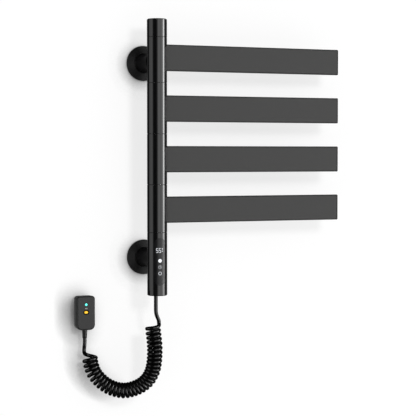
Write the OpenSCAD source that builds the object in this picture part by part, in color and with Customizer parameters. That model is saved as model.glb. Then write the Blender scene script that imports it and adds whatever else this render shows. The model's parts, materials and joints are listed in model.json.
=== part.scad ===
// Wall-mounted electric towel warmer: a round post with four swivelling heated blades, a touch
// control section at its foot, and a curly mains cord with a leakage-protection plug.
// Axes: +X to the right along the wall, +Y into the wall, +Z up.
// The origin lies on the wall face, halfway between the two wall fixings.

/* [Post] */
// Outside diameter of the post
post_d = 38; // [36:1:42]
// Wall thickness of the post tubes
post_wall = 2; // [1.5:0.5:2.5]
// Height of the post's top above the origin
post_top = 267; // [258:1:280]
// Height of the post's foot, below the origin
post_foot = -256; // [-264:1:-250]
// Distance from the wall to the post's axis
post_gap = 78; // [72:1:90]
// Gap between two sleeves, which shows as a seam
seam_gap = 0.8; // [0.7:0.1:1.4]

/* [Blades] */
// Height of the top blade's centre line
top_blade_z = 194.5; // [190:0.5:198]
// Distance from one blade's centre line to the next
blade_pitch = 96; // [94:1:97]
// Height of a blade
blade_h = 50; // [44:1:60]
// Thickness of a blade
blade_t = 12; // [11:0.5:14]
// Distance from the post's axis to a blade's free end
blade_reach = 382; // [300:1:450]
// Radius of a blade's long edges
blade_edge_r = 3; // [1:0.5:3.5]

/* [Wall fixings] */
// Distance between the two wall fixings
fixing_spacing = 376; // [370:1:380]
// Diameter of a standoff
standoff_d = 35; // [30:1:36]
// Diameter of a flange cover
flange_d = 67.5; // [66:0.5:74]
// Distance between the two screws of one wall plate
wall_screw_spacing = 47; // [46:0.5:48]
// Diameter of a wall screw hole
wall_screw_hole = 5.2; // [4.5:0.1:5.5]

/* [Control panel] */
// Height of the touch panel's centre
panel_z = -191; // [-194:1:-188]
// Width of the touch panel across its curve
panel_w = 21; // [18:1:22]
// Length of the touch panel
panel_len = 90; // [84:1:92]
// Turn of the touch panel about the post, from straight ahead
panel_turn = -4; // [-10:1:10]

/* [Plug] */
// Width of the plug
plug_w = 36; // [34:1:40]
// Height of the plug
plug_h = 65; // [62:1:72]
// Depth of the plug without its pins
plug_depth = 22; // [21:1:26]
// Height of the plug's centre
plug_z = -290; // [-292:1:-288]
// Distance of the plug's centre from the post's axis, to the left
plug_left = 126; // [125:1:129]
// Thickness of the socket plate that the plug stands against
socket_plate = 8; // [6:1:10]

/* [Cord] */
// Diameter of the cord
cord_d = 7.5; // [6:0.5:7.5]
// Outside diameter of the coiled stretch
coil_d = 31; // [28:1:31]

/* [Hidden] */
blade_count = 4;
post_r = post_d / 2;
bore_r = post_r - post_wall;
inset_r = bore_r - 0.05;
seam_cut = 0.15;
end_cut = 1.4;
spine_r = 11;
spine_wall = 2;
bearing_play = 0.05;
slip = 0.2;
tiny = 0.01;
head_seam = top_blade_z + 38;
foot_seam = blade_z(blade_count - 1) - 42.5;
hub_h = 60;
relief_h = 22;
relief_r = 14.5;
tongue_h = 21.6;
tongue_t = 7.6;
tongue_end = 48;
blade_wall = 2;
pocket_t = blade_t - 2 * blade_wall;
mid_pocket_h = 22;
rib = 2;
end_cap_t = 2;
strap_play = 0.4;
strap_t = 2;
strap_r = post_r + strap_play + strap_t;
strap_top = post_top - 5;
strap_w = 28;
strap_screw_z = [head_seam + 8, head_seam + 20];
strap_screw_r = 2;
fixing_z = [fixing_spacing / 2, -fixing_spacing / 2];
plate_t = 3;
plate_r = 28.5;
boss_r = 11.9;
boss_len = 18;
grub_y = -13;
grub_r = 2;
grub_seat = 1;
standoff_r = standoff_d / 2;
saddle_play = 0.05;
bolt_r = 3;
bolt_head_r = 5;
bolt_head_h = 6;
bolt_seat = 29;
core_low = head_seam + 0.4;
core_high = head_seam + 23.5;
nut_h = 5;
spine_top = core_high + 6;
spine_foot = foot_seam - 16;
wire_r = 2.2;
panel_step = 1.1;
panel_lip = 2.5;
ink_depth = 0.5;
ink_proud = 0.04;
digit_z = panel_z + 21.5;
icon_z = [panel_z + 2, panel_z - 10, panel_z - 22];
exit_back = 8;
cap_bottom = post_foot + 0.5;
cap_t = 5;
gland_r = 4.45;
plug_back = -socket_plate;
plug_front = plug_back - plug_depth;
plug_split = plug_back - 12;
plug_skin = 2;
plug_middle = plug_back - plug_depth / 2;
button_z = plug_z + 1.6;
button_w = 7.4;
button_h = 4.8;
button_lip = 3.3;
light_z = plug_z + 16.4;
light_r = 1.7;
pins_z = plug_z + 8;
// earth pin above, line and neutral pins splayed below it: x, z, splay and length
pin_places = [[0, 10.3, 0, 21], [-6.9, -4, 30, 18], [6.9, -4, -30, 18]];
pin_w = 6.4;
pin_t = 1.6;
plug_screw_at = [[-12.5, 27], [12.5, 27], [-8, -27], [8, -27]];
plug_screw_r = 1.5;
boot_bottom = plug_z - plug_h / 2 - 15.5;
boot_r = 5;
boot_neck_r = 4;
coil_top = -311;

// route of the cord from the clamp inside the post's foot down to the coil
upper_route = [[0, -70, -246], [0, -70, -260], [0, -70, -273], [0, -70, -285], [0.5, -70, -291],
    [2.5, -69, -297], [5.5, -68.5, -303], [7, -68, -307], [7, -68, coil_top]];
// centre line of the coiled stretch, hanging in a U from the post to the plug
coil_route = [[-4.5, -66.5, coil_top], [-4.5, -66.5, -323], [-3, -68, -339], [-2, -69, -354],
    [-2, -69, -368], [-3, -68.5, -385], [-6, -66.5, -402], [-14, -63.5, -418], [-26, -59.5, -429],
    [-41, -54.5, -436], [-57, -49, -439], [-74, -43, -436], [-89, -38, -428.5], [-101, -34, -418],
    [-111, -31, -405], [-116, -29, -391], [-118, -27, -378], [-118, -27, -368]];
// route of the cord from the coil up to the plug's boot
lower_route = [[-129, -24, -368], [-129, -24, -362], [-plug_left - 1, plug_middle - 1.5, -354],
    [-plug_left, plug_middle, -347], [-plug_left, plug_middle, boot_bottom]];

function numbered(name) = [for (i = [1:blade_count]) str(name, "_", i)];
$fn = 96;

function blade_z(i) = top_blade_z - i * blade_pitch;
function sleeve_top(i) = (i == 0 ? head_seam : blade_z(i) + blade_pitch / 2) - seam_gap / 2;
function sleeve_bottom(i) =
    (i == blade_count - 1 ? foot_seam : blade_z(i) - blade_pitch / 2) + seam_gap / 2;
function seam_z(i) = i < blade_count ? sleeve_top(i) + seam_gap / 2 : foot_seam;

// ---- shared shapes ----

module at_post() { translate([0, -post_gap, 0]) children(); }

module tube(outer, inner, low, high) {
    translate([0, 0, low]) difference() {
        cylinder(r = outer, h = high - low);
        translate([0, 0, -1]) cylinder(r = inner, h = high - low + 2);
    }
}

// a tube whose outside edges are chamfered by the amounts at its low and high ends
module chamfered_tube(outer, inner, low, high, low_cut, high_cut) {
    rotate_extrude() polygon([[inner, low], [outer - low_cut, low], [outer, low + low_cut],
        [outer, high - high_cut], [outer - high_cut, high], [inner, high]]);
}

module disc(r, low, high) { translate([0, 0, low]) cylinder(r = r, h = high - low); }

// a cylinder that lies along the Y axis, from y = near to y = far
module rod_y(r, near, far) {
    translate([0, far, 0]) rotate([90, 0, 0]) cylinder(r = r, h = far - near);
}

module block(low, high) { translate(low) cube(high - low); }

module rounded_rect(w, h, r) {
    square([w, h - 2 * r], center = true);
    square([w - 2 * r, h], center = true);
    for (x = [-1, 1], y = [-1, 1]) translate([x * (w / 2 - r), y * (h / 2 - r)]) circle(r = r);
}

module stadium(w, h) {
    square([w, h - w], center = true);
    for (y = [-1, 1]) translate([0, y * (h - w) / 2]) circle(d = w);
}

// the space in front of the post that holds an outline drawn on the panel
module panel_prism() {
    rotate([0, 0, panel_turn]) rotate([90, 0, 0]) linear_extrude(2 * post_r) children();
}

// ---- cord sweep ----

function unit(v) = v / norm(v);
function heading(p, i) = unit(p[min(i + 1, len(p) - 1)] - p[max(i - 1, 0)]);
function ring(p, i, r, sides) =
    let (t = heading(p, i), a = unit(cross(t, [0, 1, 0])), b = cross(t, a))
    [for (k = [0:sides - 1]) p[i] + r * (cos(360 * k / sides) * a + sin(360 * k / sides) * b)];

module swept(route, r, sides) {
    rings = len(route);
    points = [for (i = [0:rings - 1]) each ring(route, i, r, sides)];
    walls = [for (i = [0:rings - 2], k = [0:sides - 1]) let (n = (k + 1) % sides)
        [i * sides + k, (i + 1) * sides + k, (i + 1) * sides + n, i * sides + n]];
    first = [for (k = [0:sides - 1]) k];
    last = [for (k = [sides - 1:-1:0]) (rings - 1) * sides + k];
    polyhedron(points, concat(walls, [first, last]), convexity = 8);
}

// ---- wall fixings ----

module wall_plate(z) {
    color("silver") translate([0, 0, z]) difference() {
        union() {
            rod_y(plate_r, -plate_t, 0);
            rod_y(boss_r, -plate_t - boss_len, -plate_t);
        }
        for (side = [-1, 1]) translate([side * wall_screw_spacing / 2, 0, 0])
            rod_y(wall_screw_hole / 2, -plate_t - 1, 1);
        // flat seat for the grub screw
        block([-1.5 * grub_r, grub_y - 1.5 * grub_r, -2 * boss_r],
            [1.5 * grub_r, grub_y + 1.5 * grub_r, -boss_r + grub_seat]);
    }
}

// a dished ring that hides the wall plate, with a bevelled rim and a collar at the standoff
module flange_cover(z) {
    outer = flange_d / 2;
    hole = standoff_r + 0.15;
    color([0.1, 0.1, 0.1]) translate([0, 0, z]) rotate([90, 0, 0]) rotate_extrude()
        polygon([[outer, 0.2], [outer, 2.2], [outer - 1.8, 4], [standoff_r + 3.4, 7.4],
            [standoff_r + 2.6, 9], [hole, 9], [hole, 5.6], [standoff_r + 3, 5.6],
            [outer - 2.6, 2.4], [outer - 2.6, 0.2]]);
}

module standoff(z, face_r) {
    color([0.1, 0.1, 0.1]) difference() {
        translate([0, 0, z]) difference() {
            rod_y(standoff_r, -post_gap, -plate_t - slip);
            rod_y(boss_r + slip / 2, -plate_t - boss_len - slip, 1);
            rod_y(bolt_r + slip, -post_gap - 1, 1);
            rod_y(bolt_head_r + 1, -post_gap + bolt_seat, 1);
            // tapped hole for the grub screw, from below
            translate([0, grub_y, -standoff_r - 1]) cylinder(r = grub_r + tiny, h = standoff_r);
        }
        at_post() disc(face_r + saddle_play, z - 2 * standoff_r, z + 2 * standoff_r);
    }
}

module grub_screws() {
    socket_depth = 2;
    head = -standoff_r + 0.4;
    color("dimgray") for (z = fixing_z) translate([0, grub_y, z]) difference() {
        disc(grub_r, head, -boss_r + grub_seat - 0.05);
        translate([0, 0, head - 1]) cylinder(r = grub_r / 2, h = socket_depth + 1, $fn = 6);
    }
}

// socket-head bolts that run through the standoffs from the wall side
module standoff_bolts() {
    color("silver") for (i = [0, 1]) {
        tip = -post_gap + [post_r + strap_play + 0.1, bore_r - 2.6][i];
        seat = -post_gap + bolt_seat;
        translate([0, 0, fixing_z[i]]) difference() {
            union() {
                rod_y(bolt_r, tip, seat + 1);
                rod_y(bolt_head_r, seat + slip, seat + bolt_head_h);
            }
            translate([0, seat + bolt_head_h / 2, 0]) rotate([-90, 0, 0])
                cylinder(r = bolt_r, h = bolt_head_h, $fn = 6);
        }
    }
}

// a curved strap that carries the head from the upper standoff, behind the turning sleeve
module rear_strap() {
    low = fixing_z[0] - standoff_r;
    color([0.14, 0.14, 0.14]) difference() {
        at_post() intersection() {
            tube(strap_r, strap_r - strap_t, low, strap_top);
            translate([0, 0, (low + strap_top) / 2]) rotate([-90, 0, 0])
                linear_extrude(2 * post_r) rounded_rect(strap_w, strap_top - low, 5);
        }
        translate([0, 0, fixing_z[0]]) rod_y(bolt_r + 0.05, -post_gap, -post_gap + 2 * post_r);
        strap_screw_holes(-post_gap, 0.1);
    }
}

// clearance for the strap screws, from a distance in front of the wall back to the strap
module strap_screw_holes(near, play) {
    for (z = strap_screw_z)
        translate([0, 0, z]) rod_y(strap_screw_r + play, near, -post_gap + 2 * post_r);
}

module strap_screws() {
    seat = -post_gap + strap_r;
    head_r = 3.6;
    head_h = 2;
    color("dimgray") for (z = strap_screw_z) translate([0, 0, z]) difference() {
        union() {
            rod_y(strap_screw_r, -post_gap + spine_r + 1.5, seat + slip);
            rod_y(head_r, seat + slip / 2, seat + head_h);
        }
        translate([0, seat + head_h / 2, 0]) rotate([-90, 0, 0])
            cylinder(r = 1.4, h = head_h, $fn = 6);
    }
}

// ---- fixed core of the post ----

// the fixed tube that the blades turn on; it has a window for wires behind each hub
module spine_tube() {
    window = [8, 14];
    color("gainsboro") at_post() difference() {
        union() {
            disc(spine_r, spine_foot, spine_top);
            disc(inset_r, spine_foot, foot_seam - 1);
        }
        disc(spine_r - spine_wall, spine_foot - 1, spine_top + 1);
        for (i = [0:blade_count - 1]) translate([0, 0, blade_z(i)])
            block([-window[0] / 2, -spine_r - 1, -window[1] / 2],
                [window[0] / 2, -spine_r + 2 * spine_wall, window[1] / 2]);
    }
}

module spine_nut() {
    color("silver") at_post() difference() {
        translate([0, 0, core_high + slip]) cylinder(r = 15.5, h = nut_h, $fn = 6);
        disc(spine_r + tiny, head_seam, spine_top + 1);
    }
}

module friction_washers() {
    washer_t = 0.4;
    color("black") at_post() for (i = [0:blade_count])
        tube(post_r - 1, spine_r + tiny, seam_z(i) - washer_t / 2, seam_z(i) + washer_t / 2);
}

// cone springs that press the hubs down, stacked with alternate cones facing each other
module disc_springs() {
    count = 3;
    step = 2.4;
    leaf = 0.8;
    rise = step - leaf - 0.05;
    inner = spine_r + 2 * slip;
    outer = bore_r - 1.5;
    low = blade_z(0) + hub_h / 2 + slip;
    color("silver") at_post() for (i = [0:count - 1]) {
        inner_lift = i % 2 == 0 ? rise : 0;
        outer_lift = rise - inner_lift;
        translate([0, 0, low + i * step]) rotate_extrude() polygon([[inner, inner_lift],
            [outer, outer_lift], [outer, outer_lift + leaf], [inner, inner_lift + leaf]]);
    }
}

module head_core() {
    color("darkgray") at_post() difference() {
        tube(inset_r, spine_r + tiny, core_low, core_high);
        translate([0, post_gap, 0]) strap_screw_holes(-post_gap, 0.05);
    }
}

module head_tube() {
    color([0.08, 0.08, 0.08]) at_post() difference() {
        chamfered_tube(post_r, bore_r, head_seam + seam_gap / 2, post_top, seam_cut, end_cut);
        translate([0, post_gap, 0]) strap_screw_holes(-post_gap, 0.1);
    }
}

module top_cap() {
    under = post_top - 3.5;
    color([0.08, 0.08, 0.08]) at_post() {
        disc(inset_r, under, post_top - 0.3);
        tube(inset_r, inset_r - 1.5, under - 1, under + tiny);
    }
}

// ---- swivelling blades ----

module sleeve(i) {
    color([0.08, 0.08, 0.08]) at_post() difference() {
        chamfered_tube(post_r, bore_r, sleeve_bottom(i), sleeve_top(i), seam_cut, seam_cut);
        translate([0, 0, blade_z(i)]) block([0, -tongue_t / 2 - slip, -tongue_h / 2 - slip],
            [post_r + 1, tongue_t / 2 + slip, tongue_h / 2 + slip]);
    }
}

// the bearing inside a sleeve, with a tongue that passes through the sleeve into the blade
module hub(i) {
    color("ivory") at_post() translate([0, 0, blade_z(i)]) difference() {
        union() {
            disc(inset_r, -hub_h / 2, hub_h / 2);
            block([0, -tongue_t / 2, -tongue_h / 2], [tongue_end, tongue_t / 2, tongue_h / 2]);
        }
        disc(spine_r + bearing_play, -hub_h, hub_h);
        disc(relief_r, -relief_h / 2, relief_h / 2);
        // wire channel
        rotate([0, 90, 0]) cylinder(r = wire_r, h = tongue_end + 1);
    }
}

// the hollow flat extrusion; its root is cut to fit the round sleeve
module blade(i) {
    side_pocket_h = (blade_h - 2 * blade_wall - mid_pocket_h) / 2 - rib;
    color([0.3, 0.3, 0.3]) at_post() translate([0, 0, blade_z(i)]) difference() {
        rotate([90, 0, 90]) linear_extrude(blade_reach - end_cap_t) difference() {
            rounded_rect(blade_t, blade_h, blade_edge_r);
            square([pocket_t, mid_pocket_h], center = true);
            for (side = [-1, 1])
                translate([0, side * (mid_pocket_h + 2 * rib + side_pocket_h) / 2])
                    square([pocket_t, side_pocket_h], center = true);
        }
        disc(post_r + tiny, -blade_h, blade_h);
    }
}

module end_cap(i) {
    peg_h = (blade_h - 2 * blade_wall - mid_pocket_h) / 2 - rib - 2 * slip;
    peg_len = 14;
    color([0.12, 0.12, 0.12]) at_post() translate([blade_reach - end_cap_t, 0, blade_z(i)]) {
        rotate([90, 0, 90]) linear_extrude(end_cap_t)
            rounded_rect(blade_t, blade_h, blade_edge_r);
        for (side = [-1, 1]) translate([0, 0, side * (mid_pocket_h / 2 + rib + slip + peg_h / 2)])
            block([-peg_len, -pocket_t / 2 + slip, -peg_h / 2],
                [0, pocket_t / 2 - slip, peg_h / 2]);
    }
}

// a flat heating strip in the middle pocket, with its lead running back through the tongue
module heater(i) {
    strip_start = 60;
    strip_end = blade_reach - 24;
    half_t = pocket_t / 2 - 0.1;
    half_h = mid_pocket_h / 2 - 2;
    lead_start = post_r + 1;
    color("goldenrod") at_post() translate([0, 0, blade_z(i)]) {
        block([strip_start, -half_t, -half_h], [strip_end, half_t, half_h]);
        translate([lead_start, 0, 0]) rotate([0, 90, 0])
            cylinder(r = wire_r - 0.6, h = strip_start - lead_start);
    }
}

// ---- control section ----

module control_housing() {
    color([0.08, 0.08, 0.08]) at_post() difference() {
        chamfered_tube(post_r, bore_r, post_foot, foot_seam - seam_gap / 2, end_cut, seam_cut);
        // seat for the touch panel, with a narrower window behind it
        intersection() {
            tube(post_r + 1, post_r - panel_step, post_foot, foot_seam);
            translate([0, 0, panel_z]) panel_prism() stadium(panel_w + slip, panel_len + slip);
        }
        translate([0, 0, panel_z]) panel_prism()
            stadium(panel_w - 2 * panel_lip, panel_len - 2 * panel_lip);
        translate([0, 0, fixing_z[1]]) rod_y(bolt_r + slip / 2, 0, 2 * post_r);
    }
}

module touch_panel() {
    color([0.05, 0.05, 0.05]) at_post() difference() {
        intersection() {
            tube(post_r, post_r - panel_step, post_foot, foot_seam);
            translate([0, 0, panel_z]) panel_prism() stadium(panel_w, panel_len);
        }
        intersection() {
            tube(post_r + 1, post_r - ink_depth, post_foot, foot_seam);
            panel_prism() { digit_outlines(); icon_outlines(); }
        }
    }
}

// one seven-segment figure 5, built from its five lit bars
module figure_five(w, h, bar) {
    for (y = [-1, 0, 1]) translate([0, y * (h - bar) / 2]) square([w, bar], center = true);
    translate([-w / 2, 0]) square([bar, h / 2]);
    translate([w / 2 - bar, -h / 2]) square([bar, h / 2]);
}

module digit_outlines() {
    figure_w = 3.7;
    figure_h = 8.3;
    bar = 0.7;
    translate([0, digit_z]) {
        for (x = [-5.4, -0.2]) translate([x, 0]) figure_five(figure_w, figure_h, bar);
        // degree ring and unit mark
        translate([4.6, 3]) difference() { circle(d = 2.4); circle(d = 1.2); }
        translate([4.6, -1.6]) circle(d = 1.6);
    }
}

// three touch marks: a solid disc, a timer and a ring
module icon_outlines() {
    translate([0, icon_z[0]]) circle(d = 6.8);
    translate([0, icon_z[1]]) {
        difference() { circle(d = 6.6); circle(d = 5.8); }
        translate([-0.4, -0.4]) square([0.8, 2.4]);
        translate([-0.4, -0.4]) square([2, 0.8]);
    }
    translate([0, icon_z[2]]) difference() { circle(d = 6.8); circle(d = 4.6); }
}

module panel_ink() {
    at_post() intersection() {
        tube(post_r + ink_proud, post_r - ink_depth, post_foot, foot_seam);
        panel_prism() children();
    }
}

module display_digits() { color("white") panel_ink() digit_outlines(); }

module touch_icons() { color("white") panel_ink() icon_outlines(); }

module control_board() {
    front = -11.6;
    half_w = 10;
    display = [7, 6];
    color("darkgreen") at_post() rotate([0, 0, panel_turn]) {
        block([-half_w, front, panel_z - 44], [half_w, -10, panel_z + 30]);
        // display block and touch springs that reach up to the panel
        block([-display[0], -post_r + 3, digit_z - display[1]],
            [display[0], front, digit_z + display[1]]);
        for (z = icon_z) translate([0, 0, z]) rod_y(3, -post_r + 2.2, front);
    }
}

module power_module() {
    color("whitesmoke") at_post() block([-10, -6, panel_z - 40], [10, 11, panel_z + 30]);
}

// one bundle up the spine, with a branch to each blade's window
module wiring_loom() {
    color("red") at_post() {
        disc(4, panel_z + 30.1, blade_z(0) + 5);
        for (i = [0:blade_count - 1]) translate([0, 0, blade_z(i)]) rod_y(1.4, -spine_r, 0);
    }
}

module bottom_cap() {
    color([0.08, 0.08, 0.08]) at_post() difference() {
        disc(inset_r, cap_bottom, cap_bottom + cap_t);
        translate([0, exit_back, 0]) disc(gland_r + 0.05, post_foot - 1, cap_bottom + cap_t + 1);
    }
}

module cord_grommet() {
    bore = cord_d / 2 + 0.05;
    flange = gland_r + 0.95;
    face = cap_bottom - 1.3;
    inside = cap_bottom + cap_t;
    color([0.12, 0.12, 0.12]) at_post() translate([0, exit_back, 0])
        rotate_extrude() polygon([[bore, face], [gland_r - 0.25, face], [flange, face + 0.7],
            [flange, cap_bottom], [gland_r, cap_bottom], [gland_r, inside], [flange, inside],
            [flange - 0.2, inside + 1.2], [bore, inside + 1.2]]);
}

// a block above the bottom cap that grips the cord
module cord_clamp() {
    low = cap_bottom + cap_t + 1.4;
    high = low + 4.6;
    color("ivory") at_post() difference() {
        block([-9, exit_back - 5.4, low], [9, exit_back + 2.4, high]);
        translate([0, exit_back, 0]) disc(cord_d / 2 + 0.05, low - 1, high + 1);
    }
}

// ---- cord and plug ----

module cord_upper_lead() { color([0.05, 0.05, 0.05]) swept(upper_route, cord_d / 2, 12); }

module cord_coil() { color([0.05, 0.05, 0.05]) swept(coil_route, coil_d / 2, 12); }

module cord_lower_lead() { color([0.05, 0.05, 0.05]) swept(lower_route, cord_d / 2, 12); }

// the plug's outline: small radii at the top and large ones at the foot, less an inset all round
module plug_outline(inset = 0) {
    top_r = 6 - inset / 2;
    foot_r = 10 - inset / 2;
    w = plug_w / 2 - inset;
    h = plug_h / 2 - inset;
    translate([-w, -h + foot_r]) square([2 * w, 2 * h - foot_r - top_r]);
    translate([-w + top_r, 0]) square([2 * (w - top_r), h]);
    translate([-w + foot_r, -h]) square([2 * (w - foot_r), h]);
    for (side = [-1, 1]) {
        translate([side * (w - top_r), h - top_r]) circle(r = top_r);
        translate([side * (w - foot_r), -h + foot_r]) circle(r = foot_r);
    }
}

module oval(w, h) {
    square([w - h, h], center = true);
    for (side = [-1, 1]) translate([side * (w - h) / 2, 0]) circle(d = h);
}

// an outline in the plug's front view, extruded between two distances from the wall
module plug_slab(near, far) {
    translate([-plug_left, far, plug_z]) rotate([90, 0, 0]) linear_extrude(far - near) children();
}

module plug_back_shell() {
    color([0.2, 0.2, 0.2]) difference() {
        plug_slab(plug_split + 0.1, plug_back) plug_outline(0.3);
        plug_slab(plug_split - 1, plug_back - plug_skin) plug_outline(plug_skin + 0.3);
        plug_pin_blocks(0.05);
        for (p = plug_screw_at) translate([p[0] - plug_left, 0, plug_z + p[1]])
            rod_y(plug_screw_r + 0.1, plug_split, 0);
        boot_hole();
    }
}

module plug_front_shell() {
    color([0.2, 0.2, 0.2]) difference() {
        plug_slab(plug_front, plug_split) plug_outline();
        plug_slab(plug_front + plug_skin + 1, plug_split + 1) plug_outline(plug_skin);
        // recess round the reset button, and the hole that the button slides in
        translate([0, 0, button_z - plug_z]) {
            plug_slab(plug_front - 1, plug_front + 1.4) oval(button_w + 4.4, button_h + 4.2);
            plug_slab(plug_front - 1, plug_split) oval(button_w + 0.6, button_h + 0.6);
        }
        translate([-plug_left, 0, light_z]) rod_y(light_r + 0.05, plug_front - 1, plug_split);
        boot_hole();
    }
}

module boot_hole() {
    translate([-plug_left, plug_middle, boot_bottom]) cylinder(r = boot_neck_r + 0.05, h = 22);
}

module plug_pin_blocks(grow) {
    half = [pin_t / 2 + grow, pin_w / 2 + grow];
    for (p = pin_places) translate([p[0] - plug_left, plug_back, pins_z + p[1]])
        rotate([0, p[2], 0]) block([-half[0], -6, -half[1]], [half[0], p[3], half[1]]);
}

module plug_pins() { color("gold") plug_pin_blocks(0); }

// the strain relief: a sleeve whose inner end is held between the two shells
module plug_boot() {
    foot = plug_z - plug_h / 2;
    color([0.12, 0.12, 0.12]) translate([-plug_left, plug_middle, 0])
        rotate_extrude() polygon([[0, boot_bottom], [boot_r - 0.8, boot_bottom],
            [boot_r - 0.1, boot_bottom + 1], [boot_r, foot - 0.1], [boot_neck_r, foot - 0.1],
            [boot_neck_r, foot + 6], [0, foot + 6]]);
}

module plug_light() {
    tail = plug_front + 5;
    color("cyan") translate([-plug_left, 0, light_z]) {
        rod_y(light_r, plug_front - 0.2, tail);
        rod_y(light_r + 0.6, tail - 1.9, tail);
    }
}

// a circuit board with its current transformer, and the switch behind the reset button
module leakage_module() {
    board = plug_back - 8;
    front = board - 1.5;
    switch_front = plug_front + 8.5;
    color("darkgreen") translate([-plug_left, 0, plug_z]) {
        block([-12, front, -22], [12, board, 24]);
        block([-9, front - 4.5, 4], [9, front, 21]);
        block([-4, switch_front, button_z - plug_z - 3], [4, front, button_z - plug_z + 3]);
    }
}

module plug_screws() {
    color("dimgray") for (p = plug_screw_at) translate([p[0] - plug_left, 0, plug_z + p[1]])
        difference() {
            rod_y(plug_screw_r, plug_split + 1, plug_back - 0.4);
            rod_y(plug_screw_r / 2, plug_back - 1.6, plug_back);
        }
}

// an oval button with a collar behind the front shell that keeps it in
module reset_button() {
    lip = plug_front + button_lip;
    color("orange") translate([0, 0, button_z - plug_z]) {
        plug_slab(plug_front - 0.5, plug_front + 5.5) oval(button_w, button_h);
        plug_slab(lip, lip + 1) oval(button_w + 2.6, button_h + 2.6);
    }
}

wall_plate(fixing_z[0]);  // upper_wall_plate
wall_plate(fixing_z[1]);  // lower_wall_plate
flange_cover(fixing_z[0]);  // upper_flange_cover
flange_cover(fixing_z[1]);  // lower_flange_cover
standoff(fixing_z[0], strap_r);  // upper_standoff
standoff(fixing_z[1], post_r);  // lower_standoff
grub_screws();
standoff_bolts();
rear_strap();
strap_screws();
spine_tube();
spine_nut();
friction_washers();
disc_springs();
head_core();
head_tube();
top_cap();
for (i = [0:blade_count - 1]) {
    sleeve(i);
    hub(i);
    blade(i);
    end_cap(i);
    heater(i);
}
control_housing();
touch_panel();
display_digits();
touch_icons();
control_board();
power_module();
wiring_loom();
bottom_cap();
cord_grommet();
cord_clamp();
cord_upper_lead();
cord_coil();
cord_lower_lead();
plug_back_shell();
plug_front_shell();
plug_pins();
plug_boot();
plug_light();
leakage_module();
plug_screws();
reset_button();
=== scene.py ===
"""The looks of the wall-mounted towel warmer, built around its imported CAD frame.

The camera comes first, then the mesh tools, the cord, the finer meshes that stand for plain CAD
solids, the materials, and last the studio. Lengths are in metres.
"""

import json
import math

import bmesh
import bpy
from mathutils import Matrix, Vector


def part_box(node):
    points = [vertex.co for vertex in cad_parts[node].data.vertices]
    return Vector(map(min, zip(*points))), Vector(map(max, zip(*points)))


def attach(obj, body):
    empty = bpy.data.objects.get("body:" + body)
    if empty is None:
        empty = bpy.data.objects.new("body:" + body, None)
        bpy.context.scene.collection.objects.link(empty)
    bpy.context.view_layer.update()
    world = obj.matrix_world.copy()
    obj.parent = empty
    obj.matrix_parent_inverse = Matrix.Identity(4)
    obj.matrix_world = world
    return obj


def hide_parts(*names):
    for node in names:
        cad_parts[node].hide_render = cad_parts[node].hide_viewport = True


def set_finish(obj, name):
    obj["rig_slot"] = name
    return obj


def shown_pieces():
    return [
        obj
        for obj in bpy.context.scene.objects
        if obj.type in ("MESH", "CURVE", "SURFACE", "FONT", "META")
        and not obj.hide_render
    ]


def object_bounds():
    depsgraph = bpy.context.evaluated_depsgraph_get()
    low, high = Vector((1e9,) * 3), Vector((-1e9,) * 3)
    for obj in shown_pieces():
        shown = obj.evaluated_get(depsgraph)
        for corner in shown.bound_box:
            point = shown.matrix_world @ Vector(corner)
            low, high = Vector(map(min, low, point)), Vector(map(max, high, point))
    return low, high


MM = 0.001
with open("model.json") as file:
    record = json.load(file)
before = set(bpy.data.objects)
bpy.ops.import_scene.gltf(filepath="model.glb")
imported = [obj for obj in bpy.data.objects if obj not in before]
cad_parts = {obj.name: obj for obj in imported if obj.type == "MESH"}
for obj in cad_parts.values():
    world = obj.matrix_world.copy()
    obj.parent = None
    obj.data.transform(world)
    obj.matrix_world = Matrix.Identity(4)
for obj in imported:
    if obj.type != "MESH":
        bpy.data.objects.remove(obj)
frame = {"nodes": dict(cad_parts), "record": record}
cad_low, cad_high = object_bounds()
scene = bpy.context.scene


def link(obj):
    scene.collection.objects.link(obj)
    return obj


# ---- camera ----

CAMERA_AT = (-0.9198, -2.553, 0.0114)
CAMERA_YAW = 22.48      # degrees from straight at the wall, towards +X
CAMERA_PITCH = -2.20    # degrees above the horizon
SENSOR_WIDTH = 36       # in millimetres, as the lens is
CAMERA_LENS = 120.45


def make_camera():
    data = bpy.data.cameras.new("camera")
    data.sensor_width = SENSOR_WIDTH
    data.lens = CAMERA_LENS
    data.clip_start, data.clip_end = 0.05, 50
    camera = link(bpy.data.objects.new("camera", data))
    camera.location = CAMERA_AT
    camera.rotation_euler = (math.radians(90 + CAMERA_PITCH), 0, math.radians(-CAMERA_YAW))
    scene.camera = camera


make_camera()


# ---- mesh tools ----

CREASE = 35             # degrees: edges sharper than this stay crisp


def mesh_object(name, points, faces, crease):
    """A smooth-shaded mesh whose edges sharper than crease degrees stay crisp."""
    data = bpy.data.meshes.new(name)
    data.from_pydata(points, [], faces)
    data.validate()
    shape = bmesh.new()
    shape.from_mesh(data)
    bmesh.ops.recalc_face_normals(shape, faces=shape.faces)
    shape.to_mesh(data)
    shape.free()
    data.polygons.foreach_set("use_smooth", [True] * len(data.polygons))
    data.set_sharp_from_angle(angle=math.radians(crease))
    return link(bpy.data.objects.new(name, data))


def loft(name, rings, crease=CREASE, closed=False):
    """A skin over rings of equally many points, capped at both ends unless it closes on itself."""
    sides = len(rings[0])
    points = [point for ring in rings for point in ring]
    pairs = [(i, i + 1) for i in range(len(rings) - 1)] + ([(len(rings) - 1, 0)] if closed else [])
    faces = [(i * sides + k, i * sides + (k + 1) % sides, j * sides + (k + 1) % sides, j * sides + k)
             for i, j in pairs for k in range(sides)]
    if not closed:
        faces += [tuple(range(sides)), tuple(range((len(rings) - 1) * sides, len(rings) * sides))]
    return mesh_object(name, points, faces, crease)


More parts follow.
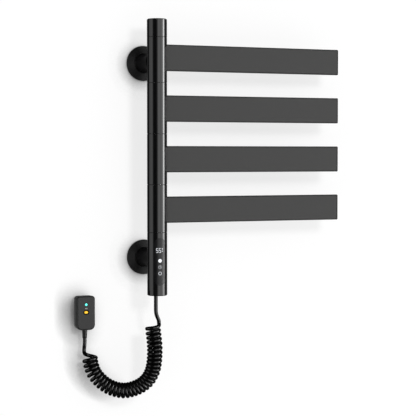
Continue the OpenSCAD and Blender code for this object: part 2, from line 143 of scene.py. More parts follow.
def circle(centre, radius, side, other, sides):
    """Points round a centre, in the plane of two directions at right angles."""
    angles = [2 * math.pi * k / sides for k in range(sides)]
    return [centre + radius * (math.cos(a) * side + math.sin(a) * other) for a in angles]


def lathe(name, profile, centre, along, sides=96, closed=True, crease=CREASE):
    """Turns a profile of (radius, distance) about an axis through centre."""
    along = Vector(along)
    across = Vector((1, 0, 0)) if abs(along.x) < 0.5 else Vector((0, 1, 0))
    other = along.cross(across)
    rings = [circle(centre + along * distance, radius, across, other, sides)
             for radius, distance in profile]
    return loft(name, rings, crease, closed)


def tube_along(name, line, radius, sides):
    """A closed round tube that follows a line without twisting."""
    rings = []
    side = Vector((1, 0, 0))
    for i, centre in enumerate(line):
        ahead = (line[min(i + 1, len(line) - 1)] - line[max(i - 1, 0)]).normalized()
        side = (side - side.dot(ahead) * ahead).normalized()
        rings.append(circle(centre, radius, side, ahead.cross(side), sides))
    return loft(name, rings)


def carve(obj, *cutters):
    """Cuts the cutters out of a mesh for good, and removes them."""
    for cutter in cutters:
        cut = obj.modifiers.new("cut", "BOOLEAN")
        cut.operation = "DIFFERENCE"
        cut.solver = "EXACT"
        cut.object = cutter
    bpy.context.view_layer.update()
    result = bpy.data.meshes.new_from_object(obj.evaluated_get(bpy.context.evaluated_depsgraph_get()))
    obj.modifiers.clear()
    obj.data = result
    obj.data.set_sharp_from_angle(angle=math.radians(CREASE))
    for cutter in cutters:
        bpy.data.objects.remove(cutter)


def joined(name, objs):
    """One mesh object from several."""
    shape = bmesh.new()
    for obj in objs:
        shape.from_mesh(obj.data)
    data = bpy.data.meshes.new(name)
    shape.to_mesh(data)
    shape.free()
    for obj in objs:
        bpy.data.objects.remove(obj)
    return link(bpy.data.objects.new(name, data))


def arc(centre, radius, start, end, steps):
    """Points of an arc in a plane, from one angle in degrees to another."""
    angles = [math.radians(start + (end - start) * k / steps) for k in range(steps + 1)]
    return [(centre[0] + radius * math.cos(a), centre[1] + radius * math.sin(a)) for a in angles]


def centre_of(node):
    low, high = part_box(node)
    return (low + high) / 2


def standing_for(obj, body, slot, *cad_nodes):
    """Puts a piece on its body with its finish, in place of CAD nodes if any; returns its name."""
    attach(obj, body)
    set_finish(obj, slot)
    if cad_nodes:
        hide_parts(*cad_nodes)
    return obj.name


# ---- cord ----

CORD_RADIUS = 3.75 * MM
CORD_SIDES = 14
CORD_STEP = 1.4 * MM
CORD_INSIDE = 6 * MM    # how far the cord is made up into the post's foot
SMOOTHING_PASSES = 6
WINDING_RADIUS = 11.5 * MM
WINDING_PITCH = 8 * MM
# its own weight opens the hanging ends' turns and closes those at the foot of the loop, by this share
SLACKENING = 0.1
# how much the smoothing passes draw the turns inwards
WINDING_LOSS = 0.25 * MM
POINTS_PER_TURN = 48
# how much further than its pitch the coil's first and last turn reach, as they ease into the leads
EASE_REACH = 5 * MM
EASE_TURN = 0.7         # radians
AXIS_STEP = 1 * MM
AXIS_LOOK = 3           # the coil's axis is headed by this many of its points on each side
CURVE_STEPS = 8

# routes in millimetres, as the CAD source has them
UPPER_ROUTE = [(0, -70, -260), (0, -70, -273), (0, -70, -285), (0.5, -70, -291), (2.5, -69, -297),
               (5.5, -68.5, -303), (7, -68, -307)]
COIL_ROUTE = [(-4.5, -66.5, -311), (-4.5, -66.5, -323), (-3, -68, -339), (-2, -69, -354), (-2, -69, -368),
              (-3, -68.5, -385), (-6, -66.5, -402), (-14, -63.5, -418), (-26, -59.5, -429),
              (-41, -54.5, -436), (-57, -49, -439), (-74, -43, -436), (-89, -38, -428.5),
              (-101, -34, -418), (-111, -31, -405), (-116, -29, -391), (-118, -27, -378),
              (-118, -27, -368)]
LOWER_ROUTE = [(-129, -24, -362), (-127, -20.5, -354), (-126, -19, -347), (-126, -19, -338),
               (-126, -19, -335)]


def catmull(points):
    """Points along a smooth line through all of the given ones."""
    ends = [2 * points[0] - points[1]] + points + [2 * points[-1] - points[-2]]
    line = []
    for a, b, c, d in zip(ends, ends[1:], ends[2:], ends[3:]):
        for k in range(CURVE_STEPS):
            t = k / CURVE_STEPS
            line.append(0.5 * (2 * b + (c - a) * t + (2 * a - 5 * b + 4 * c - d) * t ** 2
                               + (3 * b - a - 3 * c + d) * t ** 3))
    return line + [points[-1]]


def distances(line):
    """How far along the line each of its points is."""
    reach = [0.0]
    for a, b in zip(line, line[1:]):
        reach.append(reach[-1] + (b - a).length)
    return reach


def evenly(line, step):
    """The same line with its points an equal distance apart."""
    reach = distances(line)
    count = round(reach[-1] / step)
    found, at = [], 0
    for k in range(count + 1):
        along = reach[-1] * k / count
        while at < len(line) - 2 and reach[at + 1] < along:
            at += 1
        found.append(line[at].lerp(line[at + 1], (along - reach[at]) / (reach[at + 1] - reach[at])))
    return found


def smoothed(line):
    """The line with its kinks drawn out; its two ends stay where they are."""
    for _ in range(SMOOTHING_PASSES):
        inner = [(a + 2 * b + c) / 4 for a, b, c in zip(line, line[1:], line[2:])]
        line = [line[0]] + inner + [line[-1]]
    return line


def helix_round(line, radius, pitch):
    """Points of a right-handed helix that winds round a line, starting on its +X side."""
    line = evenly(line, AXIS_STEP)
    length = distances(line)[-1]
    turns = round(length / pitch)
    last_phase = 2 * math.pi * turns
    steps = turns * POINTS_PER_TURN
    steady = length - 2 * EASE_REACH
    side = Vector((1, 0, 0))
    found = []
    for k in range(steps + 1):
        share = k / steps
        phase = last_phase * (share - SLACKENING * math.sin(2 * math.pi * share) / (2 * math.pi))
        along = steady * share + EASE_REACH * (1 - math.exp(-phase / EASE_TURN))
        along += EASE_REACH * math.exp((phase - last_phase) / EASE_TURN)
        place = min(along / length, 1) * (len(line) - 1)
        at = min(int(place), len(line) - 2)
        centre = line[at].lerp(line[at + 1], place - at)
        ahead = line[min(at + 1 + AXIS_LOOK, len(line) - 1)] - line[max(at - AXIS_LOOK, 0)]
        ahead.normalize()
        side = (side - side.dot(ahead) * ahead).normalized()
        found.append(centre + radius * (math.cos(phase) * side + math.sin(phase) * ahead.cross(side)))
    return found


def route(points):
    return [Vector(p) * MM for p in points]


def make_cord():
    """The whole cord as one tube, from inside the post's foot to inside the plug's strain relief."""
    exit_point = Vector((0, UPPER_ROUTE[0][1] * MM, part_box("cord_grommet")[0].z))
    upper = catmull([exit_point + Vector((0, 0, CORD_INSIDE)), exit_point] + route(UPPER_ROUTE))
    coil = helix_round(catmull(route(COIL_ROUTE)), WINDING_RADIUS + WINDING_LOSS, WINDING_PITCH)
    lower = catmull(route(LOWER_ROUTE))
    line = smoothed(evenly(upper + coil + lower, CORD_STEP))
    tube = tube_along("mains_cord", line, CORD_RADIUS, CORD_SIDES)
    standing_for(tube, "root", "cord_rubber", "cord_upper_lead", "cord_coil", "cord_lower_lead")
    return tube, exit_point, line


cord, cord_exit, cord_line = make_cord()


# ---- flange covers ----

FLANGE_PLAY = 0.15 * MM     # between the cover and the standoff that goes through it
FLANGE_RIM = 3 * MM         # how far the outer edge stands off the wall
FLANGE_BEVEL = 1.1 * MM
FLANGE_SKIN = 1.9 * MM
FLANGE_SIDE = 3 * MM        # thickness of the rim
DISH_RISE = 1.5 * MM        # how much further off the wall the dish is at the collar than at the rim
DISH_STEPS = 16
COLLAR_RADIUS = 1 * MM      # of the hollow between the dish and the collar
# the collar's end, from its outer edge inwards: how far out from the hole, how far back from the front
COLLAR_EDGE = [(0.8 * MM, 0.4 * MM), (0.5 * MM, 0), (0, 0.2 * MM)]


def make_flange_cover(level):
    """A shallow ring with a rounded rim, which steps up to a collar round the standoff."""
    node = level + "_flange_cover"
    low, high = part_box(node)
    standoff_low, standoff_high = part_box(level + "_standoff")
    outer = (high.x - low.x) / 2
    hole = (standoff_high.x - standoff_low.x) / 2 + FLANGE_PLAY
    depth, wall_gap = -low.y, -high.y
    dish, collar = outer - FLANGE_BEVEL, hole + FLANGE_SKIN
    profile = [(outer, wall_gap), (outer, FLANGE_RIM - FLANGE_BEVEL)]
    profile += arc((dish, FLANGE_RIM - FLANGE_BEVEL), FLANGE_BEVEL, 0, 80, 6)
    for k in range(1, DISH_STEPS + 1):
        share = k / DISH_STEPS
        profile.append((dish - (dish - collar) * share, FLANGE_RIM + DISH_RISE * share ** 1.5))
    profile += arc((collar, FLANGE_RIM + DISH_RISE + COLLAR_RADIUS), COLLAR_RADIUS, 265, 190, 6)
    profile += [(hole + out, depth - back) for out, back in COLLAR_EDGE]
    profile += [(hole, FLANGE_RIM), (outer - FLANGE_SIDE, FLANGE_RIM - FLANGE_SKIN),
                (outer - FLANGE_SIDE, wall_gap)]
    centre = Vector((0, 0, (low.z + high.z) / 2))
    cover = lathe(level + "_flange", profile, centre, (0, -1, 0), sides=128, crease=30)
    standing_for(cover, "root", "fixing_black", node)


for flange in ("upper", "lower"):
    make_flange_cover(flange)


# ---- plug ----

# sizes are (width, height); an outline is (width, height, corner radius at the top, at the foot)
SHELL_WALL = 2 * MM
SHELL_RADII = (6 * MM, 10 * MM)
SHELL_LIP = 0.25 * MM       # bevel at a shell's mouth
FRONT_FILLET = 3 * MM
BACK_FILLET = 1.6 * MM
LEAST_CORNER = 0.3 * MM     # radius
CORNER_STEPS = 8
FILLET_STEPS = 7
DOME_STEPS = 6
BACK_INSET = 0.4 * MM       # how much smaller the back shell is all round
SPLIT_GAP = 0.12 * MM
CUT_PROUD = 1 * MM          # how far cutters stand out of the face
CUT_DEPTH = 4 * MM          # how deep they go to pass through the shell
RECESS = (11.8 * MM, 9 * MM)
RECESS_DEPTH = 1.4 * MM
SLIDE_HOLE = (8 * MM, 5.4 * MM)
SURROUND = (11.6 * MM, 8.8 * MM)
SURROUND_FRONT, SURROUND_BACK = 0.25 * MM, 1.38 * MM
SURROUND_OPENING = (8.1 * MM, 5.5 * MM)
SURROUND_DOME = 0.5 * MM
KEY = (7 * MM, 4.6 * MM)
KEY_DOME = 1.1 * MM
LAMP_HOLE = 2.3 * MM        # radius
LENS_RADIUS = 2.15 * MM
LENS_PROUD = 0.25 * MM
LENS_DOME = 0.55 * MM
LENS_ANGLES = (0.5, 0.9, 1.25, 1.57)
LENS_TIP = 0.05 * MM        # radius of the flat spot in its middle
# the foot that keeps the lens behind the face: radius, and depth from the face
LENS_FOOT = [(LENS_RADIUS, 3 * MM), (2.4 * MM, 3.1 * MM), (2.4 * MM, 5 * MM)]
MARK_RISE = 7.6 * MM        # from the button's centre up to the mark
BAR_PITCH = 1.5 * MM
BAR = (0.5 * MM, 2.2 * MM)
BAR_SHORTER = 0.5 * MM      # by how much the outer bars are shorter
BAR_PROUD, BAR_SUNK = 0.04 * MM, 0.3 * MM
BOOT_GRIP = 0.1 * MM        # by how much its bore is smaller than the cord
BOOT_TIP = 0.7 * MM         # its thickness at the tip
BOOT_TIP_BEVEL = (0.3 * MM, 0.4 * MM)
BOOT_COLLAR = 1.2 * MM      # its plain end next to the plug
BOOT_SEAT = 0.6 * MM        # how far its full width goes into the plug
BOOT_SHANK = 4 * MM         # radius inside the plug
GROOVES = 6
GROOVE_START = 1.6 * MM
GROOVE_PITCH = 2 * MM
GROOVE_WIDTH = 1 * MM
# how deep a groove is, in millimetres, at shares of its width
GROOVE_SHAPE = [(0, 0), (0.15, 0.35), (0.5, 0.45), (0.85, 0.35), (1, 0)]

plug_low, plug_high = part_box("plug_front_shell")
plug_middle = (plug_low + plug_high) / 2
plug_face, plug_split = plug_low.y, plug_high.y
lamp_at = centre_of("plug_light")
button_at = centre_of("reset_button")


def rounded_ring(outline, inset, y, middle):
    """A rounded rectangle seen from the front, drawn in by inset, at y."""
    width, height, top_radius, foot_radius = outline
    w, h = width / 2 - inset, height / 2 - inset
    least = min(LEAST_CORNER, w, h)
    top, foot = max(top_radius - inset, least), max(foot_radius - inset, least)
    corners = [((w - top, h - top), top, 0), ((-w + top, h - top), top, 90),
               ((-w + foot, -h + foot), foot, 180), ((w - foot, -h + foot), foot, 270)]
    flat = [p for centre, radius, start in corners
            for p in arc(centre, radius, start, start + 90, CORNER_STEPS)]
    return [Vector((middle.x + x, y, middle.z + z)) for x, z in flat]


def shell(name, shrink, mouth, floor, fillet):
    """One half of the plug's case: a cup whose foot has a rounded edge."""
    top_radius, foot_radius = SHELL_RADII
    outline = (plug_high.x - plug_low.x - 2 * shrink, plug_high.z - plug_low.z - 2 * shrink,
               top_radius - shrink, foot_radius - shrink)
    inwards = 1 if mouth > floor else -1
    sections = [(SHELL_WALL, floor + inwards * SHELL_WALL), (SHELL_WALL, mouth), (SHELL_LIP, mouth),
                (0, mouth - inwards * SHELL_LIP)]
    sections += [(inset, floor + inwards * depth)
                 for inset, depth in arc((fillet, fillet), fillet, 180, 270, FILLET_STEPS)]
    return loft(name, [rounded_ring(outline, inset, y, plug_middle) for inset, y in sections])


def pill(name, size, front, back, middle, dome=0.0):
    """An oval slab between two depths from the plug's face; its front edge is rounded by dome."""
    near, far = plug_face + front, plug_face + back
    end = min(size) / 2
    sections = [(0, far)]
    if dome:
        sections += [(inset, near + depth) for inset, depth in arc((dome, dome), dome, 180, 270, DOME_STEPS)]
    else:
        sections.append((0, near))
    return loft(name, [rounded_ring((*size, end, end), inset, y, middle) for inset, y in sections])


def make_shells():
    front = shell("plug_front", 0, plug_split, plug_face, FRONT_FILLET)
    recess = pill("recess", RECESS, -CUT_PROUD, RECESS_DEPTH, button_at)
    slide_hole = pill("slide_hole", SLIDE_HOLE, -CUT_PROUD, CUT_DEPTH, button_at)
    lamp_hole = lathe("lamp_hole", [(LAMP_HOLE, -CUT_PROUD), (LAMP_HOLE, CUT_DEPTH)],
                      Vector((lamp_at.x, plug_face, lamp_at.z)), (0, 1, 0), sides=48, closed=False)
    carve(front, recess, slide_hole, lamp_hole)
    back_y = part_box("plug_back_shell")[1].y
    back = shell("plug_back", BACK_INSET, plug_split + SPLIT_GAP, back_y, BACK_FILLET)
    return [standing_for(front, "root", "plug_plastic", "plug_front_shell"),
            standing_for(back, "root", "plug_plastic", "plug_back_shell")]


def make_button():
    """The amber key and the dark surround that it slides in."""
    surround = pill("button_surround", SURROUND, SURROUND_FRONT, SURROUND_BACK, button_at, SURROUND_DOME)
    carve(surround, pill("opening", SURROUND_OPENING, -CUT_PROUD, CUT_DEPTH, button_at))
    low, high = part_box("reset_button")
    key = pill("reset_key_cap", KEY, low.y - plug_face, high.y - plug_face, button_at, KEY_DOME)
    return [standing_for(surround, "root", "trim_plastic"),
            standing_for(key, "reset_key", "button_amber", "reset_button")]


def make_lamp():
    """A domed lens, with the foot that keeps it behind the face."""
    profile = [(LENS_TIP, -LENS_PROUD)]
    profile += [(LENS_RADIUS * math.sin(a), LENS_DOME * (1 - math.cos(a)) - LENS_PROUD) for a in LENS_ANGLES]
    centre = Vector((lamp_at.x, plug_face, lamp_at.z))
    lamp = lathe("plug_lamp", profile + LENS_FOOT, centre, (0, 1, 0), sides=40, closed=False)
    return [standing_for(lamp, "root", "light_cyan", "plug_light")]


def make_mark():
    """Three short printed bars between the lamp and the button."""
    bars = []
    for k in (-1, 0, 1):
        at = Vector((lamp_at.x + k * BAR_PITCH, 0, button_at.z + MARK_RISE))
        size = (BAR[0], BAR[1] - BAR_SHORTER * abs(k))
        bars.append(pill("mark", size, -BAR_PROUD, BAR_SUNK, at))
    return [standing_for(joined("plug_mark", bars), "root", "module_white")]


def make_boot():
    """The strain relief: a tapered rubber sleeve with grooves that let it bend."""
    low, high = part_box("plug_boot")
    radius = (high.x - low.x) / 2
    length = plug_low.z - low.z
    whole = high.z - low.z
    bore, tip = CORD_RADIUS - BOOT_GRIP, CORD_RADIUS + BOOT_TIP
    profile = [(bore, 0), (tip - BOOT_TIP_BEVEL[0], 0), (tip, BOOT_TIP_BEVEL[1])]
    for k in range(GROOVES):
        for share, cut in GROOVE_SHAPE:
            at = GROOVE_START + k * GROOVE_PITCH + share * GROOVE_WIDTH
            profile.append((tip + (radius - tip) * at / length - cut * MM, at))
    seat = length + BOOT_SEAT
    profile += [(radius, length - BOOT_COLLAR), (radius, seat), (BOOT_SHANK, seat), (BOOT_SHANK, whole),
                (bore, whole)]
    centre = Vector(((low.x + high.x) / 2, (low.y + high.y) / 2, low.z))
    boot = lathe("plug_strain_relief", profile, centre, (0, 0, 1), sides=48, crease=40)
    return [standing_for(boot, "root", "cord_rubber", "plug_boot")]


PLUG_PIECES = make_shells() + make_button() + make_lamp() + make_mark() + make_boot()
PLUG_PIECES += ["plug_pins", "plug_screws", "leakage_module"]


# ---- shader tools ----

def maths(tree, operation, first, second):
    node = tree.nodes.new("ShaderNodeMath")
    node.operation = operation
    for socket, value in zip(node.inputs, (first, second)):
        if isinstance(value, (int, float)):
            socket.default_value = value
        else:
            tree.links.new(value, socket)
    return node.outputs["Value"]


def ranged(tree, source, ends, results):
    """A value carried from one range to another, and held beyond the two ends."""
    node = tree.nodes.new("ShaderNodeMapRange")
    for socket, value in zip(("From Min", "From Max", "To Min", "To Max"), (*ends, *results)):
        node.inputs[socket].default_value = value
    tree.links.new(source, node.inputs["Value"])
    return node.outputs["Result"]


def ramp(tree, source, stops, interpolation="LINEAR"):
    """A colour ramp over a value from 0 to 1; the stops are (position, colour)."""
    node = tree.nodes.new("ShaderNodeValToRGB")
    node.color_ramp.interpolation = interpolation
    elements = node.color_ramp.elements
    while len(elements) < len(stops):
        elements.new(0.5)
    for element, (position, colour) in zip(elements, stops):
        element.position = position
        element.color = (*colour, 1)
    tree.links.new(source, node.inputs["Fac"])
    return node.outputs["Color"]


# ---- materials ----

NOISE_ENDS = (0.3, 0.7)     # where most of a noise's values lie


class Paint:
    """A procedural surface: a base with mottled colour, uneven roughness and a fine bump."""

    def __init__(self, name, colour, roughness, metallic=0.0):
        self.name = name
        self.material = bpy.data.materials.new(name)
        self.material.use_nodes = True
        self.tree = self.material.node_tree
        self.shader = self.tree.nodes["Principled BSDF"]
        self.coords = self.tree.nodes.new("ShaderNodeTexCoord")
        self.colour = colour
        self.bumped = None
        self.set("Base Color", (*colour, 1))
        self.set("Roughness", roughness)
        self.set("Metallic", metallic)

    def set(self, socket, value):
        self.shader.inputs[socket].default_value = value
        return self

    def join(self, source, target):
        self.tree.links.new(source, target)

    def place(self, stretch=(1, 1, 1)):
        mapping = self.tree.nodes.new("ShaderNodeMapping")
        mapping.inputs["Scale"].default_value = stretch
        self.join(self.coords.outputs["Object"], mapping.inputs["Vector"])
        return mapping.outputs["Vector"]

    def noise(self, size, stretch, detail=3.0):
        """Noise whose features are about size across."""
        texture = self.tree.nodes.new("ShaderNodeTexNoise")
        texture.inputs["Scale"].default_value = 1 / size
        texture.inputs["Detail"].default_value = detail
        self.join(self.place(stretch), texture.inputs["Vector"])
        return texture.outputs["Fac"]

    def mottle(self, size, amount, stretch=(1, 1, 1)):
        """Lets the colour drift by a share of itself over patches of that size."""
        darker = [c * (1 - amount) for c in self.colour]
        lighter = [min(1, c * (1 + amount)) for c in self.colour]
        stops = list(zip(NOISE_ENDS, (darker, lighter)))
        self.join(ramp(self.tree, self.noise(size, stretch), stops), self.shader.inputs["Base Color"])
        return self

    def smudge(self, size, low, high, stretch=(1, 1, 1)):
        """Lets the roughness drift between two values."""
        drift = ranged(self.tree, self.noise(size, stretch), NOISE_ENDS, (low, high))
        self.join(drift, self.shader.inputs["Roughness"])
        return self

    def grain(self, size, depth, stretch=(1, 1, 1)):
        """Adds a bump of that depth over features of that size, on top of the bumps before it."""
        bump = self.tree.nodes.new("ShaderNodeBump")
        bump.inputs["Distance"].default_value = depth
        self.join(self.noise(size, stretch, detail=2.0), bump.inputs["Height"])
        if self.bumped is not None:
            self.join(self.bumped, bump.inputs["Normal"])
        self.bumped = bump.outputs["Normal"]
        self.join(self.bumped, self.shader.inputs["Normal"])
        return self

    def glow(self, colour, strength):
        self.set("Emission Color", (*colour, 1))
        self.set("Emission Strength", strength)
        return self


def post_lacquer():
    """Semi-gloss black lacquer with a faint orange peel."""
    paint = Paint("post_black", (0.0016, 0.0016, 0.0018), 0.12)
    paint.mottle(9 * MM, 0.25).smudge(14 * MM, 0.10, 0.14)
    return paint.grain(2.2 * MM, 0.0008 * MM).grain(0.35 * MM, 0.0003 * MM)


def blade_powder_coat():
    """Matte dark grey powder coat with a fine even speckle."""
    paint = Paint("blade_grey", (0.035, 0.035, 0.0346), 0.36)
    paint.set("Specular IOR Level", 0.21)
    paint.mottle(0.5 * MM, 0.10).smudge(20 * MM, 0.34, 0.38)
    return paint.grain(0.45 * MM, 0.012 * MM)


def satin_black():
    """The wall fixings' lacquer."""
    paint = Paint("fixing_black", (0.005, 0.005, 0.0052), 0.34)
    paint.set("Specular IOR Level", 0.2)
    paint.mottle(6 * MM, 0.2).smudge(9 * MM, 0.30, 0.38)
    return paint.grain(0.5 * MM, 0.006 * MM)


def trim_black():
    """Dull black plastic, for the caps and the button's surround."""
    paint = Paint("trim_plastic", (0.003, 0.003, 0.003), 0.4)
    paint.set("Specular IOR Level", 0.06)
    paint.mottle(3 * MM, 0.15).smudge(5 * MM, 0.36, 0.45)
    return paint.grain(0.3 * MM, 0.01 * MM)


def panel_window():
    """The touch panel's smoked plastic."""
    paint = Paint("panel_gloss", (0.0035, 0.0035, 0.004), 0.33)
    paint.set("Specular IOR Level", 0.33)
    paint.mottle(8 * MM, 0.2).smudge(7 * MM, 0.30, 0.37)
    return paint.grain(6 * MM, 0.002 * MM)


DISPLAY_SPAN = (-0.22, -0.16)
# how bright the lit marks are from each share of that span upwards
DISPLAY_LEVELS = [(0.0, 0.5), (0.23, 0.62), (0.42, 1.0), (0.65, 0.95)]


def display_light():
    """The lit figures and touch marks, each as bright as its height says."""
    paint = Paint("display_white", (0.10, 0.10, 0.11), 0.35)
    paint.mottle(1.2 * MM, 0.06).smudge(2 * MM, 0.3, 0.4)
    position = paint.tree.nodes.new("ShaderNodeSeparateXYZ")
    paint.join(paint.place(), position.inputs["Vector"])
    share = ranged(paint.tree, position.outputs["Z"], DISPLAY_SPAN, (0, 1))
    stops = [(start, (level, level, level)) for start, level in DISPLAY_LEVELS]
    strength = ramp(paint.tree, share, stops, "CONSTANT")
    paint.glow((0.93, 0.96, 1.0), 1.0)
    paint.join(strength, paint.shader.inputs["Emission Strength"])
    return paint


def metal(name, tint, rough):
    """Bare metal, brushed along its length."""
    paint = Paint(name, tint, rough, metallic=1.0)
    paint.mottle(4 * MM, 0.12).smudge(3 * MM, rough - 0.06, rough + 0.08, (1, 1, 6))
    return paint.grain(0.3 * MM, 0.004 * MM, (1, 1, 8))


def plain_plastic(name, colour, rough, size=0.4 * MM, depth=0.008 * MM):
    paint = Paint(name, colour, rough)
    paint.mottle(3 * MM, 0.08).smudge(4 * MM, rough - 0.06, rough + 0.06)
    return paint.grain(size, depth)


def cord_jacket():
    """Glossy black polyurethane with a few scuffs."""
    paint = Paint("cord_rubber", (0.0015, 0.0015, 0.0015), 0.16)
    paint.set("Specular IOR Level", 0.36)
    paint.mottle(5 * MM, 0.2).smudge(6 * MM, 0.12, 0.2)
    return paint.grain(1.5 * MM, 0.003 * MM)


def plug_plastic():
    """Finely etched dark grey plastic."""
    paint = Paint("plug_plastic", (0.02, 0.02, 0.02), 0.24)
    paint.set("Specular IOR Level", 0.22)
    paint.mottle(2 * MM, 0.08).smudge(5 * MM, 0.22, 0.27)
    return paint.grain(0.35 * MM, 0.012 * MM)


def lit(name, colour, strength):
    """A translucent plastic that glows. The lamp has a light behind it; on the amber key, which is no lamp,
    the glow is painted light.
    """
    paint = Paint(name, colour, 0.25)
    paint.mottle(2 * MM, 0.12).smudge(2 * MM, 0.2, 0.32)
    return paint.grain(0.8 * MM, 0.004 * MM).glow(colour, strength)


PAINTS = {paint.name: paint.material for paint in (
    post_lacquer(),
    blade_powder_coat(),
    satin_black(),
    trim_black(),
    panel_window(),
    display_light(),
    metal("plate_steel", (0.55, 0.55, 0.57), 0.35),
    metal("screw_steel", (0.16, 0.16, 0.17), 0.4),
    metal("core_aluminium", (0.62, 0.62, 0.64), 0.3),
    plain_plastic("washer_plastic", (0.004, 0.004, 0.004), 0.45),
    plain_plastic("hub_plastic", (0.68, 0.64, 0.54), 0.5),
    plain_plastic("heater_foil", (0.5, 0.26, 0.05), 0.3, 2 * MM, 0.03 * MM),
    plain_plastic("board_green", (0.015, 0.13, 0.05), 0.35, 1.5 * MM, 0.02 * MM),
    plain_plastic("module_white", (0.72, 0.72, 0.69), 0.5),
    plain_plastic("wire_sleeve", (0.3, 0.02, 0.02), 0.4, 1 * MM, 0.02 * MM),
    cord_jacket(),
    plug_plastic(),
    metal("pin_brass", (0.72, 0.52, 0.22), 0.22),
    lit("light_cyan", (0.09, 0.80, 0.66), 1.35),
    # the reset key has no light behind it: its amber glow is painted light
    lit("button_amber", (0.86, 0.48, 0.02), 0.45),
)}


def dress(obj, slot):
    """Gives an object the finish of one of the record's material slots."""
    if obj.material_slots:
        for place in obj.material_slots:
            place.material = PAINTS[slot]
    else:
        obj.data.materials.append(PAINTS[slot])


for part in frame["record"]["subparts"]:
    dress(frame["nodes"][part["node"]], part["material_slot"])
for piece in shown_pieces():
    if "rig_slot" in piece:
        dress(piece, piece["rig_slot"])


# ---- wall and floor ----

STAGE_REACH = 4.0
FLOOR_DROP = 0.36       # from the object's lowest point down to the floor
WALL_SHADE = 0.28
WALL_GLOW = 0.70        # the share of its brightness that shadows leave alone
# things near the wall darken it round them, most on the side away from the key light
CONTACT_REACH = 0.04
CONTACT_LEAN = (0.6, -0.68, 0.42)
CONTACT_DEPTH = 2.6
CONTACT_SAMPLES = 8


def contact_shade(tree):
    """From 1 in the open to 0 where something stands against the surface."""
    near = tree.nodes.new("ShaderNodeAmbientOcclusion")
    near.samples = CONTACT_SAMPLES
    near.inputs["Distance"].default_value = CONTACT_REACH
    lean = tree.nodes.new("ShaderNodeCombineXYZ")
    for socket, value in zip(lean.inputs, CONTACT_LEAN):
        socket.default_value = value
    tree.links.new(lean.outputs["Vector"], near.inputs["Normal"])
    return maths(tree, "POWER", near.outputs["AO"], CONTACT_DEPTH)


def clear_from_behind(tree, shader):
    """Lets a camera behind the surface see through it."""
    clear = tree.nodes.new("ShaderNodeBsdfTransparent")
    facing = tree.nodes.new("ShaderNodeNewGeometry")
    mix = tree.nodes.new("ShaderNodeMixShader")
    tree.links.new(facing.outputs["Backfacing"], mix.inputs["Fac"])
    tree.links.new(shader.outputs["BSDF"], mix.inputs[1])
    tree.links.new(clear.outputs["BSDF"], mix.inputs[2])
    tree.links.new(mix.outputs["Shader"], tree.nodes["Material Output"].inputs["Surface"])


def stage_material(name, one_sided):
    """Matt white that glows a little, so that shadows on it stay light."""
    material = bpy.data.materials.new(name)
    material.use_nodes = True
    tree = material.node_tree
    shader = tree.nodes["Principled BSDF"]
    shader.inputs["Base Color"].default_value = (WALL_SHADE, WALL_SHADE, WALL_SHADE, 1)
    shader.inputs["Roughness"].default_value = 0.9
    shader.inputs["Specular IOR Level"].default_value = 0.0
    shader.inputs["Emission Color"].default_value = (1, 1, 1, 1)
    glow = maths(tree, "MULTIPLY", contact_shade(tree), WALL_GLOW)
    tree.links.new(glow, shader.inputs["Emission Strength"])
    if one_sided:
        clear_from_behind(tree, shader)
    return material


def stage_plane(name, corners, one_sided=False):
    data = bpy.data.meshes.new(name)
    data.from_pydata(corners, [], [(0, 1, 2, 3)])
    plane = link(bpy.data.objects.new(name, data))
    data.materials.append(stage_material(name, one_sided))
    plane.visible_glossy = False


def make_stage():
    far = STAGE_REACH
    floor_z = cad_low.z - FLOOR_DROP
    stage_plane("wall", [(-far, 0, floor_z), (far, 0, floor_z), (far, 0, far), (-far, 0, far)],
                one_sided=True)
    stage_plane("floor", [(-far, -far, floor_z), (far, -far, floor_z), (far, far, floor_z),
                          (-far, far, floor_z)])


# ---- lighting ----

AMBIENT = 0.6
KEY_POWER = 38.0
KEY_DISTANCE = 3.0
KEY_SIZE = 0.63
KEY_AZIMUTH = 3         # degrees to the right of straight in front
KEY_ELEVATION = 18
# what polished surfaces mirror: degrees from straight in front, towards +X, and radiance
STUDIO_RING = [(-180, 0.3), (-165, 0.22), (-158, 0.03), (-128, 0.03), (-119, 0.9), (-96, 1.2), (-82, 1.4),
               (-72, 1.0), (-65, 0.1), (-56, 0.05), (-26, 0.05), (-17, 0.55), (-6, 2.1), (4, 2.4),
               (12, 2.05), (28, 1.85), (38, 2.5), (48, 4.0), (53, 4.2), (74, 1.2), (84, 0.4), (90, 0.1),
               (112, 0.1), (132, 0.3), (158, 0.2), (180, 0.3)]
# how far up or down the ring reaches, as the sine of the elevation: it fades out from one to the other
RING_FADE = ((0.28, 0.5), (1.0, 0.04))
# one bright strip light: its edges in degrees, its radiance, and where it fades below and above
STRIP_EDGES = (54, 57, 69, 72)
STRIP_RADIANCE = 12
STRIP_FADES = [((-0.09, -0.02), (0.3, 1.0)), ((0.13, 0.2), (1.0, 0.0))]


def round_about(tree, azimuth, stops):
    """A value that changes with the azimuth; the stops are (degrees, value)."""
    share = ranged(tree, azimuth, (-math.pi, math.pi), (0, 1))
    greys = [((degrees + 180) / 360, (value, value, value)) for degrees, value in stops]
    return ramp(tree, share, greys)


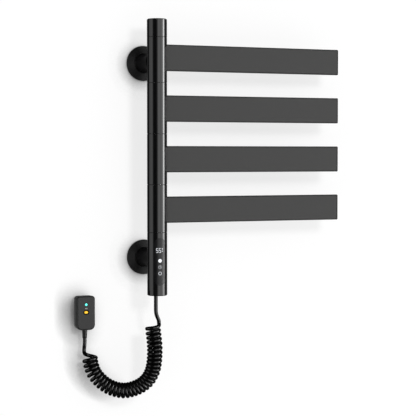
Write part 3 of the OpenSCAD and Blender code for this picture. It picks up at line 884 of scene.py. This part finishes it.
def soft_boxes(tree, direction):
    """The ring of soft boxes and the strip light, by direction."""
    behind = maths(tree, "MULTIPLY", direction.outputs["Y"], -1.0)
    azimuth = maths(tree, "ARCTAN2", direction.outputs["X"], behind)
    height = direction.outputs["Z"]
    peak = max(value for _, value in STUDIO_RING)
    shares = round_about(tree, azimuth, [(degrees, value / peak) for degrees, value in STUDIO_RING])
    ring = maths(tree, "MULTIPLY", shares, peak)
    strip = round_about(tree, azimuth, list(zip(STRIP_EDGES, (0, 1, 1, 0))))
    for ends, results in STRIP_FADES:
        strip = maths(tree, "MULTIPLY", strip, ranged(tree, height, ends, results))
    both = maths(tree, "ADD", ring, maths(tree, "MULTIPLY", strip, STRIP_RADIANCE))
    slant = maths(tree, "ABSOLUTE", height, 0.0)
    return maths(tree, "MULTIPLY", both, ranged(tree, slant, *RING_FADE))


def make_world():
    """White to the eye, even to matt surfaces, and soft boxes to polished ones."""
    world = bpy.data.worlds.new("studio")
    scene.world = world
    world.use_nodes = True
    tree = world.node_tree
    coords = tree.nodes.new("ShaderNodeTexCoord")
    direction = tree.nodes.new("ShaderNodeSeparateXYZ")
    tree.links.new(coords.outputs["Generated"], direction.inputs["Vector"])
    path = tree.nodes.new("ShaderNodeLightPath")
    mirrored = path.outputs["Is Glossy Ray"]
    even = maths(tree, "MULTIPLY", maths(tree, "SUBTRACT", 1.0, mirrored), AMBIENT)
    seen = maths(tree, "MULTIPLY", path.outputs["Is Camera Ray"], 1.0 - AMBIENT)
    shine = maths(tree, "MULTIPLY", mirrored, soft_boxes(tree, direction))
    total = maths(tree, "ADD", maths(tree, "ADD", even, seen), shine)
    background = tree.nodes["Background"]
    background.inputs["Color"].default_value = (1, 1, 1, 1)
    tree.links.new(total, background.inputs["Strength"])


def make_key_light():
    data = bpy.data.lights.new("key", "AREA")
    data.shape = "DISK"
    data.size = KEY_SIZE
    data.energy = KEY_POWER
    key = link(bpy.data.objects.new("key", data))
    azimuth, elevation = math.radians(KEY_AZIMUTH), math.radians(KEY_ELEVATION)
    away = Vector((math.sin(azimuth) * math.cos(elevation), -math.cos(azimuth) * math.cos(elevation),
                   math.sin(elevation)))
    key.location = (cad_low + cad_high) / 2 + away * KEY_DISTANCE
    key.rotation_euler = away.to_track_quat("Z", "Y").to_euler()
    key.visible_camera = False
    key.visible_glossy = False


make_world()
make_key_light()
make_stage()
scene.view_settings.view_transform = "Standard"
